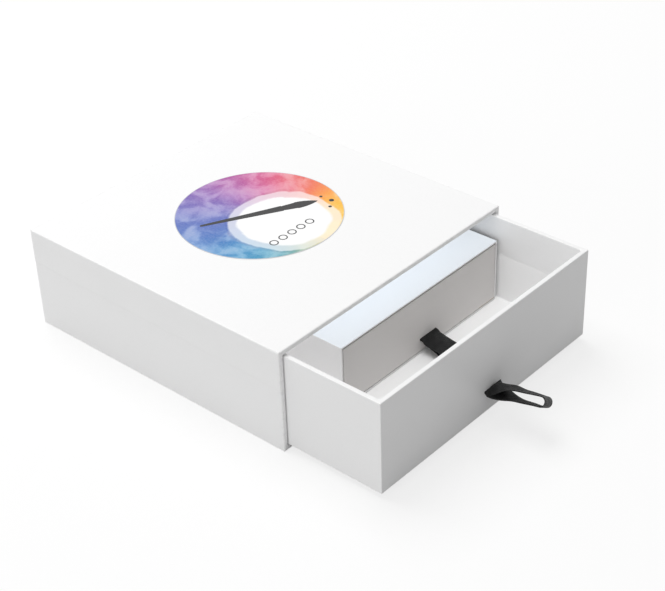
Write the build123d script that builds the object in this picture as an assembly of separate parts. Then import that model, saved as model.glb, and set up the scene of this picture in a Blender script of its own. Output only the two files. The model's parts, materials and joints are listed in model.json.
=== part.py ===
from build123d import *
import math
import os
from dataclasses import dataclass, replace

# A drawer box for watercolour paints. A paper-wrapped board sleeve holds a drawer with a ribbon pull,
# and a smaller sleeve and drawer of the same make lie loose in that drawer.
# Millimetres. The origin is the centre of the large sleeve's underside. +X points to the right seen from
# the front, +Y to the back and +Z up. Both drawers open towards -Y, and the large one stands part open.

# Board and paper
BOARD = 2.0  # grey board
SMALL_SLEEVE_BOARD = 0.5  # the small sleeve is of thin board, as its fine edge at the mouth shows
PAPER = 0.2  # wrap and lining sheets
STAY_TAPE = 0.1  # gummed tape over the drawers' upright board joints
STAY_WIDTH = 12.0  # what the tape covers of each wall

# Large sleeve, measured over its wrap
SLEEVE_WIDTH = 158.0
SLEEVE_DEPTH = 164.0
SLEEVE_HEIGHT = 54.0
MOUTH_TURN_IN = 12.0  # how far a sleeve's wrap runs inside its mouth
FLAP_FRONT = 20.0  # the wrap's glue flap hangs this far down the left side at the mouth
FLAP_BACK = 17.6  # and this far at the back

# Round label on the large sleeve's top
LABEL_DIAMETER = 83.0
LABEL_THICKNESS = 0.15
LABEL_RIGHT_OF_CENTRE = 0.75
LABEL_BEHIND_CENTRE = 4.7

# How a drawer runs in its sleeve
SIDE_GAP = 0.4
UNDER_GAP = 0.3
TOP_GAP = 0.7
BACK_GAP = 0.5
LARGE_DRAWER_OPEN = 53.7  # how far it stands out of the mouth at rest

# Drawers
LARGE_RIM_TURN_IN = 20.0  # how far the wrap runs down inside the walls
SMALL_RIM_TURN_IN = 12.0

# Small box, measured over its wrap, and its place in the large drawer
SMALL_WIDTH = 116.0
SMALL_DEPTH = 109.0
SMALL_HEIGHT = 34.0
SMALL_RIGHT_SPACE = 2.2  # from its right side to the drawer's right wall
SMALL_BACK_SPACE = 0.6
SMALL_UNDER_GAP = 0.3

# Ribbon pulls
RIBBON_WIDTH = 12.0
RIBBON_THICKNESS = 0.5
SLIT_GAP = 0.3  # round the two ribbon layers in their slit
PIVOT_AHEAD = 0.8  # where a loop bends, ahead of the drawer's front
TAIL_LENGTH = 9.0  # the ends behind the front board reach this far above the slit's middle

# Each loop: its slit right of the drawer's middle and above its underside, and its length, tip and tilt
LARGE_SLIT_RIGHT = 2.5
LARGE_SLIT_HEIGHT = 11.4
LARGE_LOOP_LENGTH = 32.5  # from the bend to the end of the tip
LARGE_TIP_RADIUS = 3.4
LARGE_LOOP_TILT = 10.5  # degrees above level
SMALL_SLIT_RIGHT = 4.0
SMALL_SLIT_HEIGHT = 6.6
SMALL_LOOP_LENGTH = 19.0
SMALL_TIP_RADIUS = 1.9
SMALL_LOOP_TILT = -19.0


@dataclass(frozen=True)
class Pull:
    """A ribbon loop: its slit's place on the drawer's front, and the loop's size and tilt."""

    right_of_middle: float
    above_base: float
    length: float
    tip_radius: float
    tilt: float


LARGE_PULL = Pull(LARGE_SLIT_RIGHT, LARGE_SLIT_HEIGHT, LARGE_LOOP_LENGTH, LARGE_TIP_RADIUS, LARGE_LOOP_TILT)
SMALL_PULL = Pull(SMALL_SLIT_RIGHT, SMALL_SLIT_HEIGHT, SMALL_LOOP_LENGTH, SMALL_TIP_RADIUS, SMALL_LOOP_TILT)


@dataclass(frozen=True)
class Block:
    """A box given by its faces."""

    left: float
    right: float
    front: float
    back: float
    bottom: float
    top: float

    def solid(self):
        size = (self.right - self.left, self.back - self.front, self.top - self.bottom)
        middle = ((self.left + self.right) / 2, (self.front + self.back) / 2, (self.bottom + self.top) / 2)
        return Pos(*middle) * Box(*size)

    def inset(self, left=0.0, right=0.0, front=0.0, back=0.0, bottom=0.0, top=0.0):
        return Block(
            self.left + left,
            self.right - right,
            self.front + front,
            self.back - back,
            self.bottom + bottom,
            self.top - top,
        )


def all_round(d):
    """The same inset on each of the six faces."""
    return dict(left=d, right=d, front=d, back=d, bottom=d, top=d)


def write(name, shape):
    export_step(shape, f"parts/{name}.step")


# Sleeves: a tube of four mitred boards and a back board, wrapped and lined


@dataclass(frozen=True)
class Sleeve:
    """A sleeve's outside, measured over its wrap, and the thickness of its boards."""

    outer: Block
    board: float

    def boards_outside(self):
        return self.outer.inset(**all_round(PAPER))

    def boards_inside(self):
        """The hollow of the boards, open at the mouth."""
        edge = self.boards_outside()
        return edge.inset(
            left=self.board, right=self.board, bottom=self.board, top=self.board, back=self.board
        )

    def room(self):
        """The lined hollow, open at the mouth."""
        return self.boards_inside().inset(left=PAPER, right=PAPER, bottom=PAPER, top=PAPER, back=PAPER)


def tube_board(sleeve, side):
    """One panel of the tube: a plate with its long edges mitred."""
    out = sleeve.boards_outside()
    room = sleeve.boards_inside()
    corners = {
        "top": [(out.left, out.top), (out.right, out.top), (room.right, room.top), (room.left, room.top)],
        "right": [
            (out.right, out.top),
            (out.right, out.bottom),
            (room.right, room.bottom),
            (room.right, room.top),
        ],
        "bottom": [
            (out.right, out.bottom),
            (out.left, out.bottom),
            (room.left, room.bottom),
            (room.right, room.bottom),
        ],
        "left": [
            (out.left, out.bottom),
            (out.left, out.top),
            (room.left, room.top),
            (room.left, room.bottom),
        ],
    }[side]
    face = make_face(Polyline(*[(x, out.front, z) for x, z in corners], close=True))
    return extrude(face, amount=out.back - out.front, dir=(0, 1, 0))


def sleeve_back_board(sleeve):
    room = sleeve.boards_inside()
    return replace(room, front=room.back, back=room.back + sleeve.board).solid()


def sleeve_wrap(sleeve):
    """The sheet outside the boards, over their ends at the mouth and turned in."""
    inside = sleeve.boards_inside()
    turned_in = replace(inside, back=inside.front + MOUTH_TURN_IN)
    through = replace(sleeve.room(), front=sleeve.outer.front - 1)
    return sleeve.outer.solid() - sleeve.boards_outside().solid() + turned_in.solid() - through.solid()


def sleeve_lining(sleeve):
    inside = sleeve.boards_inside()
    lined = replace(inside, front=inside.front + MOUTH_TURN_IN)
    return lined.solid() - sleeve.room().solid()


def glue_flap(outer):
    """The wrap's overlapping edge down the left side."""
    corners = [
        (outer.front, outer.top),
        (outer.front, outer.top - FLAP_FRONT),
        (outer.back, outer.top - FLAP_BACK),
        (outer.back, outer.top),
    ]
    face = make_face(Polyline(*[(outer.left, y, z) for y, z in corners], close=True))
    return extrude(face, amount=PAPER, dir=(-1, 0, 0))


def underside_panel(outer):
    return replace(outer, top=outer.bottom + PAPER).solid()


def make_sleeve_boards(name, sleeve):
    for side in ("top", "bottom", "left", "right"):
        write(f"{name}_{side}_board", tube_board(sleeve, side))
    write(f"{name}_back_board", sleeve_back_board(sleeve))
    write(f"{name}_lining", sleeve_lining(sleeve))


# Drawers: a base and four walls of board, with a slit in the front for the ribbon


def drawer_outside(sleeve, out_of_mouth):
    """The drawer that runs in a sleeve, standing this far out of its mouth."""
    room = sleeve.room()
    fit = room.inset(left=SIDE_GAP, right=SIDE_GAP, bottom=UNDER_GAP, top=TOP_GAP, back=BACK_GAP)
    return replace(fit, front=sleeve.outer.front - out_of_mouth, back=fit.back - out_of_mouth)


def drawer_boards_inside(outer):
    """The hollow of the boards, open at the top."""
    edge = outer.inset(**all_round(PAPER))
    return edge.inset(left=BOARD, right=BOARD, front=BOARD, back=BOARD, bottom=BOARD)


def drawer_room(outer):
    """The lined hollow, open at the top."""
    return drawer_boards_inside(outer).inset(left=PAPER, right=PAPER, front=PAPER, back=PAPER, bottom=PAPER)


def ribbon_place(outer, pull):
    """The middle of the slit at the drawer's outer face."""
    return (outer.left + outer.right) / 2 + pull.right_of_middle, outer.front, outer.bottom + pull.above_base


def ribbon_stack(outer, pull):
    """The two ribbon layers in the slit, from the front face to behind the front board."""
    x, y, z = ribbon_place(outer, pull)
    return Block(
        x - RIBBON_WIDTH / 2,
        x + RIBBON_WIDTH / 2,
        y,
        drawer_boards_inside(outer).front,
        z - RIBBON_THICKNESS,
        z + RIBBON_THICKNESS,
    )


def ribbon_ends(outer, pull):
    """The two ends, one over the other, turned up behind the front board."""
    stack = ribbon_stack(outer, pull)
    return replace(
        stack,
        front=stack.back,
        back=stack.back + 2 * RIBBON_THICKNESS,
        top=outer.bottom + pull.above_base + TAIL_LENGTH,
    )


def raised_lining(outer, pull):
    """Where the lining stands up over the ribbon's ends."""
    return ribbon_ends(outer, pull).inset(left=-PAPER, right=-PAPER, back=-PAPER, bottom=-PAPER, top=-PAPER)


def slit(outer, pull):
    return ribbon_stack(outer, pull).inset(
        left=-SLIT_GAP, right=-SLIT_GAP, front=-1, bottom=-SLIT_GAP, top=-SLIT_GAP
    )


def drawer_boards(outer, pull):
    """The base over the whole floor, the front and back across it, and the sides between them."""
    edge = outer.inset(**all_round(PAPER))
    room = drawer_boards_inside(outer)
    wall = replace(edge, bottom=room.bottom)
    return {
        "base": replace(edge, top=room.bottom).solid(),
        "front": replace(wall, back=room.front).solid() - slit(outer, pull).solid(),
        "back": replace(wall, front=room.back).solid(),
        "left": replace(wall, front=room.front, back=room.back, right=room.left).solid(),
        "right": replace(wall, front=room.front, back=room.back, left=room.right).solid(),
    }


def corner_stays(outer):
    """An upright strip of tape folded round each corner of the boards, up to their rim."""
    edge = outer.inset(**all_round(PAPER))
    stays = []
    for x, inward in ((edge.left, 1), (edge.right, -1)):
        for y, backward in ((edge.front, 1), (edge.back, -1)):
            leg_x = x - inward * STAY_TAPE, x + inward * STAY_WIDTH
            leg_y = y - backward * STAY_TAPE, y + backward * STAY_WIDTH
            across = Block(
                min(leg_x), max(leg_x), min(y, leg_y[0]), max(y, leg_y[0]), edge.bottom, edge.top
            )
            along = Block(
                min(x, leg_x[0]), max(x, leg_x[0]), min(leg_y), max(leg_y), edge.bottom, edge.top
            )
            stays.append(across.solid() + along.solid())
    return stays


def drawer_wrap(outer, turn_in, pull, stays):
    """The sheet outside the boards, over the rim and turned in down the walls."""
    edge = outer.inset(**all_round(PAPER))
    inside = drawer_boards_inside(outer)
    room = drawer_room(outer)
    turned_in = replace(inside, bottom=edge.top - turn_in)
    through = replace(room, top=outer.top + 1)
    wrap = outer.solid() - edge.solid() + turned_in.solid() - through.solid()
    for stay in stays:
        wrap -= stay
    return wrap - slit(outer, pull).solid() - raised_lining(outer, pull).solid()


def drawer_lining(outer, turn_in, pull):
    """The sheets on the floor and the lower walls, raised over the ribbon's ends."""
    inside = drawer_boards_inside(outer)
    lined = replace(inside, top=outer.top - PAPER - turn_in)
    sheet = lined.solid() - drawer_room(outer).solid()
    return sheet + raised_lining(outer, pull).solid() - ribbon_ends(outer, pull).solid()


def ribbon_tails(outer, pull):
    return ribbon_stack(outer, pull).solid() + ribbon_ends(outer, pull).solid()


def ribbon_loop(outer, pull):
    """A band of even thickness: two legs from the bend at the slit, and a round tip."""
    x, y, z = ribbon_place(outer, pull)
    outside = teardrop(pull.length - pull.tip_radius, pull.tip_radius, RIBBON_THICKNESS)
    inside = teardrop(pull.length - pull.tip_radius, pull.tip_radius - RIBBON_THICKNESS, 0.0)
    band = extrude(outside - inside, amount=RIBBON_WIDTH)
    # The profile's own X runs out from the slit and its Y runs up, so the band's width lies along -X.
    at_slit = Plane(origin=(x + RIBBON_WIDTH / 2, y - PIVOT_AHEAD, z), x_dir=(0, -1, 0), z_dir=(-1, 0, 0))
    tilted = Rot(0, 0, pull.tilt) * band
    return at_slit * tilted


def teardrop(reach, tip, root):
    """The face between a circle of radius tip at this reach and one of radius root at the origin."""
    slope = math.asin((tip - root) / reach)
    away = math.pi / 2 + slope
    over = Vector(math.cos(away), math.sin(away))
    centre = Vector(reach, 0)
    tip_top = centre + over * tip
    tip_low = Vector(tip_top.X, -tip_top.Y)
    root_top = over * root
    root_low = Vector(root_top.X, -root_top.Y)
    edges = [
        Line(root_top, tip_top),
        ThreePointArc(tip_top, centre + Vector(tip, 0), tip_low),
        Line(tip_low, root_low),
    ]
    if root > 0:
        edges.append(ThreePointArc(root_low, Vector(-root, 0), root_top))
    return make_face(Wire(edges))


def make_drawer(name, outer, turn_in, pull):
    for side, board in drawer_boards(outer, pull).items():
        write(f"{name}_{side}_board", board)
    stays = corner_stays(outer)
    write(f"{name}_corner_stays", Compound(children=stays))
    write(f"{name}_wrap", drawer_wrap(outer, turn_in, pull, stays))
    write(f"{name}_lining", drawer_lining(outer, turn_in, pull))
    write(f"{name}_ribbon_tails", ribbon_tails(outer, pull))
    write(f"{name}_ribbon_loop", ribbon_loop(outer, pull))


# The two boxes


def large_sleeve_outside():
    return Block(
        -SLEEVE_WIDTH / 2, SLEEVE_WIDTH / 2, -SLEEVE_DEPTH / 2, SLEEVE_DEPTH / 2, 0.0, SLEEVE_HEIGHT
    )


def small_sleeve_outside(large_drawer):
    """The small box standing on the large drawer's floor, near its right and back walls."""
    room = drawer_room(large_drawer)
    right = room.right - SMALL_RIGHT_SPACE
    back = room.back - SMALL_BACK_SPACE
    bottom = room.bottom + SMALL_UNDER_GAP
    return Block(right - SMALL_WIDTH, right, back - SMALL_DEPTH, back, bottom, bottom + SMALL_HEIGHT)


def round_label(sleeve):
    disc = Cylinder(
        LABEL_DIAMETER / 2, LABEL_THICKNESS, align=(Align.CENTER, Align.CENTER, Align.MIN)
    )
    x = (sleeve.left + sleeve.right) / 2 + LABEL_RIGHT_OF_CENTRE
    y = (sleeve.front + sleeve.back) / 2 + LABEL_BEHIND_CENTRE
    return Pos(x, y, sleeve.top) * disc


def make_large_sleeve(sleeve):
    make_sleeve_boards("large_sleeve", sleeve)
    underside = underside_panel(sleeve.outer)
    write("large_sleeve_underside_wrap", underside)
    write("large_sleeve_wrap", sleeve_wrap(sleeve) + glue_flap(sleeve.outer) - underside)
    write("round_label", round_label(sleeve.outer))


def make_small_sleeve(sleeve):
    make_sleeve_boards("small_sleeve", sleeve)
    write("small_sleeve_wrap", sleeve_wrap(sleeve))


def main():
    os.makedirs("parts", exist_ok=True)
    large_sleeve = Sleeve(large_sleeve_outside(), BOARD)
    large_drawer = drawer_outside(large_sleeve, LARGE_DRAWER_OPEN)
    small_sleeve = Sleeve(small_sleeve_outside(large_drawer), SMALL_SLEEVE_BOARD)
    small_drawer = drawer_outside(small_sleeve, 0.0)
    make_large_sleeve(large_sleeve)
    make_drawer("large_drawer", large_drawer, LARGE_RIM_TURN_IN, LARGE_PULL)
    make_small_sleeve(small_sleeve)
    make_drawer("small_drawer", small_drawer, SMALL_RIM_TURN_IN, SMALL_PULL)
    for name, block in (
        ("large sleeve", large_sleeve.outer),
        ("large drawer", large_drawer),
        ("small sleeve", small_sleeve.outer),
        ("small drawer", small_drawer),
    ):
        print(name, block)


main()
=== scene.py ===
import json
import logging
import math
from dataclasses import dataclass, field
from enum import Enum
from typing import Iterable, Sequence

import bmesh
import bpy
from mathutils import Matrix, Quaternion, Vector
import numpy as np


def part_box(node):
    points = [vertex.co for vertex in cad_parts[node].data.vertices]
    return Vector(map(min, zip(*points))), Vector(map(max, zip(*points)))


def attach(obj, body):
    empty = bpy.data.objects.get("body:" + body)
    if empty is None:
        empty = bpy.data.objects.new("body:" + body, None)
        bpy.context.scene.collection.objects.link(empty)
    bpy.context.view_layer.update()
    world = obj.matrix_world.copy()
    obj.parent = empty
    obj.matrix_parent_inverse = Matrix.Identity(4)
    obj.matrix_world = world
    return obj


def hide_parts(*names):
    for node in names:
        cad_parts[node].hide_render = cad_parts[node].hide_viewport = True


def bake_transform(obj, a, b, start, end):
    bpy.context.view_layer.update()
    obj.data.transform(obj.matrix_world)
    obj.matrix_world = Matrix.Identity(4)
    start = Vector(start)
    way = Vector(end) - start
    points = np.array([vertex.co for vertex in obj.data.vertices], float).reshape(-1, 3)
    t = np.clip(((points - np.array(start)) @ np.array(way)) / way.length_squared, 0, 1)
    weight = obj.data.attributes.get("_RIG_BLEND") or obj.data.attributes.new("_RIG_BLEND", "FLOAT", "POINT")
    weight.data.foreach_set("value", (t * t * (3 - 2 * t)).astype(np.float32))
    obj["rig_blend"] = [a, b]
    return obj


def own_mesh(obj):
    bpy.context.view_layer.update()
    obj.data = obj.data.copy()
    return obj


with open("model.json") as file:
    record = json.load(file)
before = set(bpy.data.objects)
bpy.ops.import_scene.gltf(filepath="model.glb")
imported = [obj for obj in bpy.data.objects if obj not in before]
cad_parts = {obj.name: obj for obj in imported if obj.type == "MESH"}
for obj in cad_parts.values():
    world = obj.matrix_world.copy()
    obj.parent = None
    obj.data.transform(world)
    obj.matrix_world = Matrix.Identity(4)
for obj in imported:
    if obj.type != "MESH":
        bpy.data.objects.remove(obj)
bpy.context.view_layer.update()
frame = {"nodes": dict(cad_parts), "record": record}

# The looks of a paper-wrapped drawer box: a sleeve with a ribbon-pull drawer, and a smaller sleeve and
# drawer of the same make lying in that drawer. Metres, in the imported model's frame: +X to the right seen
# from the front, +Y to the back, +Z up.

LOG = logging.getLogger("drawer_box")

Pair = tuple[float, float]
Tone = tuple[float, float, float]
Material = bpy.types.Material
Piece = bpy.types.Object
Socket = bpy.types.NodeSocket

MM = 0.001
PAPER = 0.2 * MM
RIBBON_WIDTH = 12.0 * MM
RIBBON_THICKNESS = 0.5 * MM

# How finely round stretches are divided.
CORNER_STEPS = 5
FOLD_STEPS = 4
RIM_STEPS = 5

# The angles in degrees past which an edge stays sharp.
PLAIN_SHARP = 40.0
SLEEVE_SHARP = 25.0
RIBBON_SHARP = 60.0

# How far past a fold a flat face has its next points, so that the fold's wear ends there.
FOLD_REACH = 0.8 * MM

# The middle range of a noise's values, which a ramp spreads out.
MIDDLE = (0.3, 0.7)


class Body(Enum):
    """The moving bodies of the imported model."""

    SLEEVE = "sleeve"
    DRAWER = "drawer"
    DRAWER_PULL = "drawer_pull"
    SMALL_BOX = "small_box"
    SMALL_DRAWER = "small_drawer"
    SMALL_PULL = "small_pull"


class Slot(Enum):
    """The record's material slots."""

    WRAP = "white_wrap"
    LINING = "white_lining"
    BOARD = "grey_board"
    TAPE = "gummed_tape"
    LABEL = "label_print"
    RIBBON = "black_ribbon"


class Stack(Enum):
    """The axis that a skin's levels follow one another along."""

    LENGTHWISE = 1
    UPRIGHT = 2


# Small helpers


def smoothstep(value: float, low: float, high: float) -> float:
    """Rises smoothly from 0 at low to 1 at high.

    Args:
        value: The place to evaluate.
        low: Where the rise starts.
        high: Where it ends.

    Returns:
        The height, from 0 to 1.
    """
    t = min(max((value - low) / (high - low), 0.0), 1.0)
    return t * t * (3 - 2 * t)


def mix(a: float, b: float, share: float) -> float:
    """The value this share of the way from a to b."""
    return a + (b - a) * share


def spread(low: float, high: float, count: int) -> list[float]:
    """Evenly spaced values, both ends included."""
    return [mix(low, high, k / (count - 1)) for k in range(count)]


def arc(centre: Pair, radius: float, turn: Pair, steps: int) -> list[Pair]:
    """Points along an arc in a plane.

    Args:
        centre: The arc's centre.
        radius: Its radius.
        turn: The first and last angle, in degrees.
        steps: How many chords it has.

    Returns:
        The points as pairs.
    """
    angles = [math.radians(angle) for angle in spread(turn[0], turn[1], steps + 1)]
    return [(centre[0] + radius * math.cos(a), centre[1] + radius * math.sin(a)) for a in angles]


def circle(centre: Pair, radius: float, steps: int) -> list[Pair]:
    """Points all round a circle."""
    return arc(centre, radius, (0, 360), steps)[:-1]


def srgb(tone: Tone) -> tuple[float, float, float, float]:
    """A colour given as on screen, in the linear values that shaders take.

    Args:
        tone: Red, green and blue, from 0 to 255.

    Returns:
        Red, green, blue and alpha, from 0 to 1.
    """
    shares = [value / 255 for value in tone]
    linear = [s / 12.92 if s <= 0.04045 else ((s + 0.055) / 1.055) ** 2.4 for s in shares]
    return linear[0], linear[1], linear[2], 1.0


def grey(level: float) -> tuple[float, float, float, float]:
    """An even grey given as on screen, in the values that shaders take."""
    return srgb((level, level, level))


@dataclass(frozen=True)
class Block:
    """A box by its lowest and highest corner."""

    low: Vector
    high: Vector

    @classmethod
    def of_nodes(cls, *nodes: str) -> "Block":
        """The box round these CAD nodes."""
        corners = [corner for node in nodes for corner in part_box(node)]
        return cls(Vector(map(min, *corners)), Vector(map(max, *corners)))

    def grown(self, by: float) -> "Block":
        """The box with every face moved out."""
        edge = Vector((by, by, by))
        return Block(self.low - edge, self.high + edge)

    def size(self) -> Vector:
        """Its width, depth and height."""
        return self.high - self.low

    def middle(self) -> Vector:
        """Its middle."""
        return (self.low + self.high) / 2


# Meshes


class Shell:
    """A closed skin lofted through rings that have as many points each."""

    FOLD_ATTRIBUTE = "fold"

    def __init__(self) -> None:
        """Starts with no points."""
        self.points: list[Vector] = []
        self.folds: list[float] = []
        self.faces: list[tuple[int, ...]] = []
        self.finishes: list[int] = []

    def ring(self, points: Iterable[Vector], fold: float = 0.0) -> list[int]:
        """Adds a ring of points.

        Args:
            points: Where they are.
            fold: How much of a fold line the ring is, from 0 to 1.

        Returns:
            The points' indices.
        """
        first = len(self.points)
        self.points.extend(points)
        self.folds.extend([fold] * (len(self.points) - first))
        return list(range(first, len(self.points)))

    def face(self, corners: Sequence[int]) -> None:
        """Adds a face with the first finish."""
        self.faces.append(tuple(corners))
        self.finishes.append(0)

    def loft(self, rings: Sequence[Sequence[int]], holes: Iterable[tuple[int, int]] = ()) -> None:
        """Joins rings one after another.

        Args:
            rings: The rings' indices.
            holes: Pairs of a ring and a point, whose face is left out.
        """
        left_out = set(holes)
        for level, (lower, upper) in enumerate(zip(rings, rings[1:])):
            for k in range(len(lower)):
                if (level, k) not in left_out:
                    after = (k + 1) % len(lower)
                    self.face((lower[k], lower[after], upper[after], upper[k]))

    def cap(self, rings: Sequence[Sequence[int]]) -> None:
        """Closes the first ring and the last."""
        self.face(rings[0])
        self.face(rings[-1])

    def reveal(self, outside: Sequence[int], inside: Sequence[int]) -> None:
        """Closes the edge of a hole between two skins.

        Args:
            outside: The hole's corners on one skin.
            inside: Those on the other, in the same order.
        """
        count = len(outside)
        for k in range(count):
            after = (k + 1) % count
            self.face((outside[k], outside[after], inside[after], inside[k]))

    def piece(self, name: str, materials: Sequence[Material], sharp: float = PLAIN_SHARP) -> Piece:
        """Makes the object, with its normals outwards and its flat faces shaded flat.

        Args:
            name: The piece's name.
            materials: Its materials, in the order of the finishes' numbers.
            sharp: Edges that turn more than this many degrees stay sharp.

        Returns:
            The object.
        """
        mesh = bpy.data.meshes.new(name)
        mesh.from_pydata([tuple(p) for p in self.points], [], self.faces)
        for material in materials:
            mesh.materials.append(material)
        mesh.polygons.foreach_set("material_index", self.finishes)
        attribute = mesh.attributes.new(self.FOLD_ATTRIBUTE, "FLOAT", "POINT")
        attribute.data.foreach_set("value", self.folds)
        rough = bmesh.new()
        rough.from_mesh(mesh)
        bmesh.ops.recalc_face_normals(rough, faces=rough.faces)
        rough.to_mesh(mesh)
        rough.free()
        mesh.shade_smooth()
        mesh.set_sharp_from_angle(angle=math.radians(sharp))
        made = bpy.data.objects.new(name, mesh)
        bpy.context.scene.collection.objects.link(made)
        weighted = made.modifiers.new("flat faces", "WEIGHTED_NORMAL")
        weighted.keep_sharp = True
        return made


@dataclass(frozen=True)
class Level:
    """One ring of a wrapped skin: how far in it lies from the outside, where along, and its corners."""

    inset: float
    along: float
    radius: float
    fold: float = 0.0


@dataclass(frozen=True)
class Stations:
    """Places between a ring's corners, in rising order: on its first side, and on its left side."""

    first: tuple[float, ...] = ()
    left: tuple[float, ...] = ()


def rounded_ring(low: Pair, high: Pair, radius: float, at: Stations) -> list[Pair]:
    """Points round a rectangle with rounded corners, from its first side on.

    Args:
        low: The rectangle's lowest a and b.
        high: Its highest a and b.
        radius: The corners' radius.
        at: Points between the corners.

    Returns:
        Pairs of a and b, anticlockwise.
    """
    middles = (
        (high[0] - radius, low[1] + radius),
        (high[0] - radius, high[1] - radius),
        (low[0] + radius, high[1] - radius),
        (low[0] + radius, low[1] + radius),
    )
    points = [(a, low[1]) for a in at.first]
    for k, middle in enumerate(middles):
        if k == len(middles) - 1:
            points += [(low[0], b) for b in reversed(at.left)]
        points += arc(middle, radius, (90 * k - 90, 90 * k), CORNER_STEPS)
    return points


def skin_ring(outside: Block, level: Level, at: Stations, stack: Stack) -> list[Vector]:
    """The points of one level of a wrapped skin.

    Args:
        outside: The block that the skin's outside lies on.
        level: The level.
        at: Points between its corners.
        stack: The axis that the levels follow one another along.

    Returns:
        The points.
    """
    along = stack.value
    across = Stack.UPRIGHT.value if stack is Stack.LENGTHWISE else Stack.LENGTHWISE.value
    low = (outside.low.x + level.inset, outside.low[across] + level.inset)
    high = (outside.high.x - level.inset, outside.high[across] - level.inset)
    points = []
    for x, b in rounded_ring(low, high, level.radius, at):
        point = Vector((x, 0, 0))
        point[along], point[across] = level.along, b
        points.append(point)
    return points


def lay_cloth(piece: Piece, cloth: Sequence[Pair]) -> None:
    """Gives a ribbon's points their places on the cloth as texture coordinates.

    Args:
        piece: The ribbon.
        cloth: The distance across and along it in metres, for each point.
    """
    layer = piece.data.uv_layers.new(name="cloth")
    for loop in piece.data.loops:
        layer.data[loop.index].uv = cloth[loop.vertex_index]


# Finishes


class Graph:
    """The nodes of a material or of the world."""

    def __init__(self, owner: bpy.types.ID) -> None:
        """Starts with the nodes that the owner has.

        Args:
            owner: The material or the world.
        """
        owner.use_nodes = True
        self.nodes = owner.node_tree.nodes
        self.links = owner.node_tree.links

    def feed(self, socket: Socket, value: object) -> None:
        """Links a socket to another, or sets it to a constant.

        Args:
            socket: The input.
            value: An output socket or a constant.
        """
        if isinstance(value, Socket):
            self.links.new(value, socket)
        else:
            socket.default_value = value

    def add(self, kind: str, inputs: dict | None = None, **settings: object) -> bpy.types.Node:
        """Adds a node.

        Args:
            kind: Its type, without the leading ShaderNode.
            inputs: Values or sockets for its inputs, by name or number.
            settings: Its own settings.

        Returns:
            The node.
        """
        node = self.nodes.new("ShaderNode" + kind)
        for key, value in settings.items():
            setattr(node, key, value)
        for key, value in (inputs or {}).items():
            self.feed(node.inputs[key], value)
        return node

    def calc(self, operation: str, *values: object) -> Socket:
        """The result of a math operation on values or sockets."""
        return self.add("Math", dict(enumerate(values)), operation=operation).outputs[0]

    def vector(self, operation: str, *values: object) -> Socket:
        """The result of a vector operation on values or sockets: a vector, or a number for a length."""
        node = self.add("VectorMath", dict(enumerate(values)), operation=operation)
        return node.outputs["Value" if operation == "LENGTH" else "Vector"]

    def seen(self) -> Socket:
        """Tells the rays that show the background, the camera's own and those in gloss and glass.

        Returns:
            1 for those rays and 0 for the others.
        """
        path = self.add("LightPath").outputs
        gloss = self.calc("MAXIMUM", path["Is Glossy Ray"], path["Is Transmission Ray"])
        return self.calc("MAXIMUM", path["Is Camera Ray"], gloss)


class Finish(Graph):
    """The nodes of one material, built round its Principled shader."""

    def __init__(self, name: str) -> None:
        """Starts a material.

        Args:
            name: Its name.
        """
        self.material = bpy.data.materials.new(name)
        super().__init__(self.material)
        self.shader = self.nodes["Principled BSDF"]

    def give(self, name: str, value: object) -> None:
        """Gives the shader an input by its name."""
        self.feed(self.shader.inputs[name], value)

    def place(self) -> Socket:
        """The point's place on the piece, in metres."""
        return self.add("TexCoord").outputs["Object"]

    def noise(self, scale: float, detail: float, at: Socket | None = None, warp: float = 0.0) -> Socket:
        """A noise value, from 0 to 1.

        Args:
            scale: How many features a metre it has.
            detail: How many finer octaves.
            at: Where to evaluate it, if not at the point's own place.
            warp: How much it is distorted.

        Returns:
            The value.
        """
        inputs = {"Vector": at or self.place(), "Scale": scale, "Detail": detail, "Distortion": warp}
        return self.add("TexNoise", inputs).outputs["Fac"]

    def ramp(self, value: Socket, over: Pair, onto: Pair = (0.0, 1.0)) -> Socket:
        """Maps one range smoothly onto another, and stays within that."""
        inputs = dict(enumerate((value, *over, *onto)))
        return self.add("MapRange", inputs, interpolation_type="SMOOTHSTEP").outputs[0]

    def blend(self, share: object, a: object, b: object, kind: str = "MIX") -> Socket:
        """The colour this share of the way from a to b, or to what that kind of blend makes of both."""
        return self.add("Mix", {0: share, 6: a, 7: b}, data_type="RGBA", blend_type=kind).outputs[2]

    def bump(self, height: Socket, distance: float) -> None:
        """Gives the shader a relief of this height in metres."""
        inputs = {"Height": height, "Distance": distance, "Strength": 1.0}
        self.give("Normal", self.add("Bump", inputs).outputs["Normal"])

    def fold(self) -> Socket:
        """How much of a fold line the point lies on."""
        return self.add("Attribute", attribute_name=Shell.FOLD_ATTRIBUTE).outputs["Fac"]


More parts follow.
